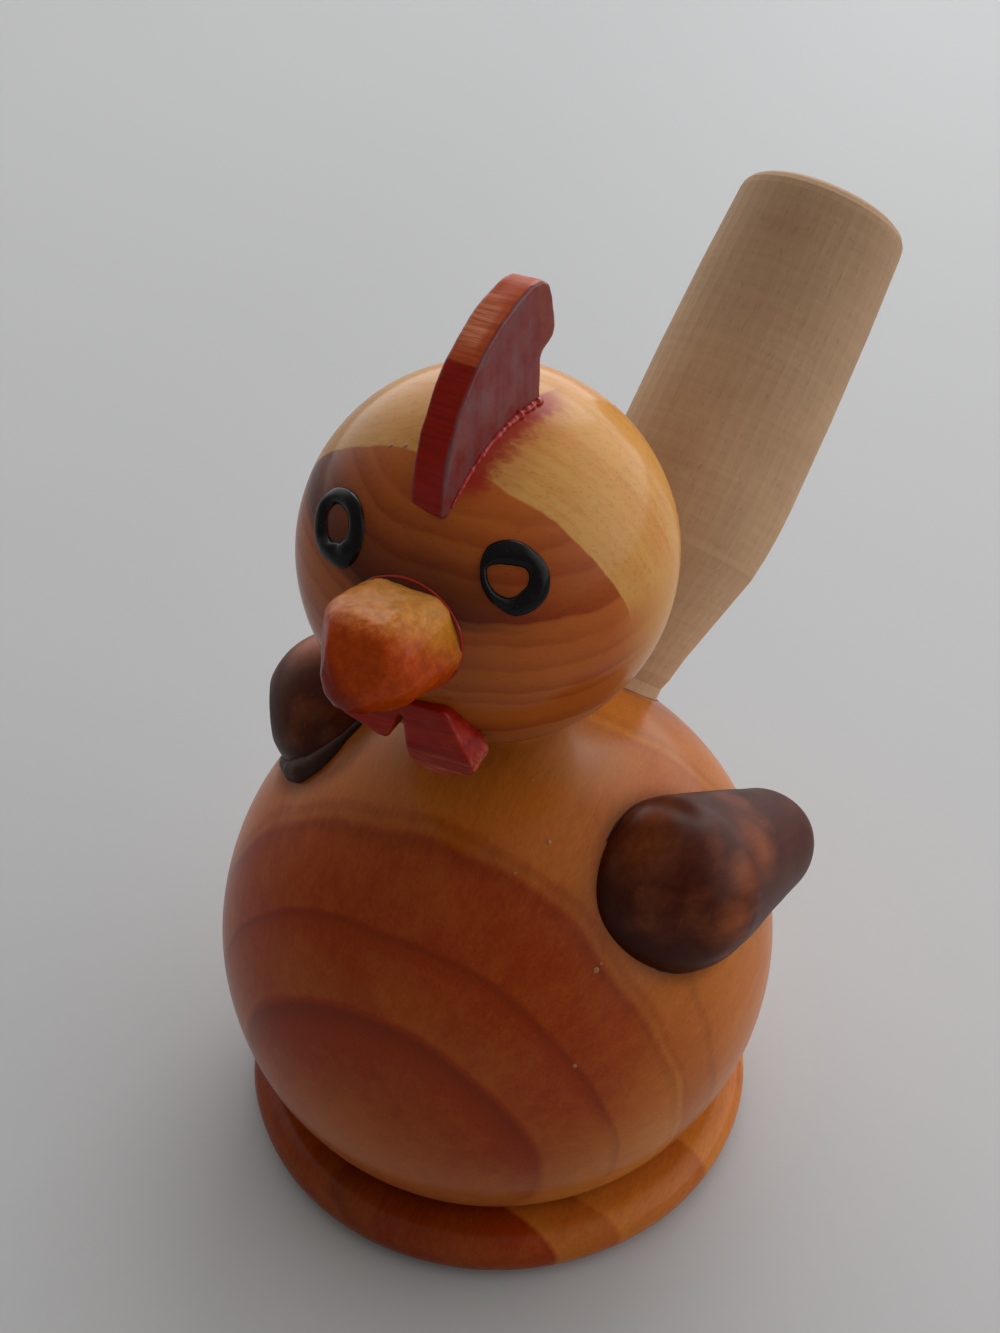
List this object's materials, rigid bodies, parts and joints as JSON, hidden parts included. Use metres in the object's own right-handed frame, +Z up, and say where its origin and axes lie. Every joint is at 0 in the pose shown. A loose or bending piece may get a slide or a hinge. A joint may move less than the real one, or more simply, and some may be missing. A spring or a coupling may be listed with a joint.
{
  "type": "rooster whistle",
  "caption": "Turned wooden rooster with a round body and head, stained comb, beak and wings, whose raised tail is a whistle tube.",
  "frame": {"origin": "centre of the foot's flat underside, on the table", "axes": "+Z up, -Y the way the body faces, +X the bird's left; the tail rises towards +Y"},
  "size_m": [0.0562, 0.0852, 0.0916],
  "materials": {
    "varnished_pine": "clear gloss varnish over honey-brown pine",
    "varnished_head_pine": "clear gloss varnish over honey-brown pine",
    "red_stain": "deep red stain under gloss varnish",
    "orange_stain": "orange stain under gloss varnish, slightly rough",
    "dark_stain": "dark brown stain under gloss varnish",
    "bare_beech": "bare, finely mottled, matt",
    "dowel_birch": "bare, hidden",
    "black_enamel": "thick glossy black enamel"
  },
  "bodies": {
    "root": {"body": "varnished_pine", "head": "varnished_head_pine", "comb": "red_stain", "wattles": "red_stain", "beak": "orange_stain", "eye_ring_left": "black_enamel", "eye_ring_right": "black_enamel", "wing_left": "dark_stain", "wing_right": "dark_stain", "tail_tube": "bare_beech", "fipple_plug": "bare_beech", "neck_dowel": "dowel_birch", "wing_dowel_left": "dowel_birch", "wing_dowel_right": "dowel_birch"}
  },
  "joints": []
}
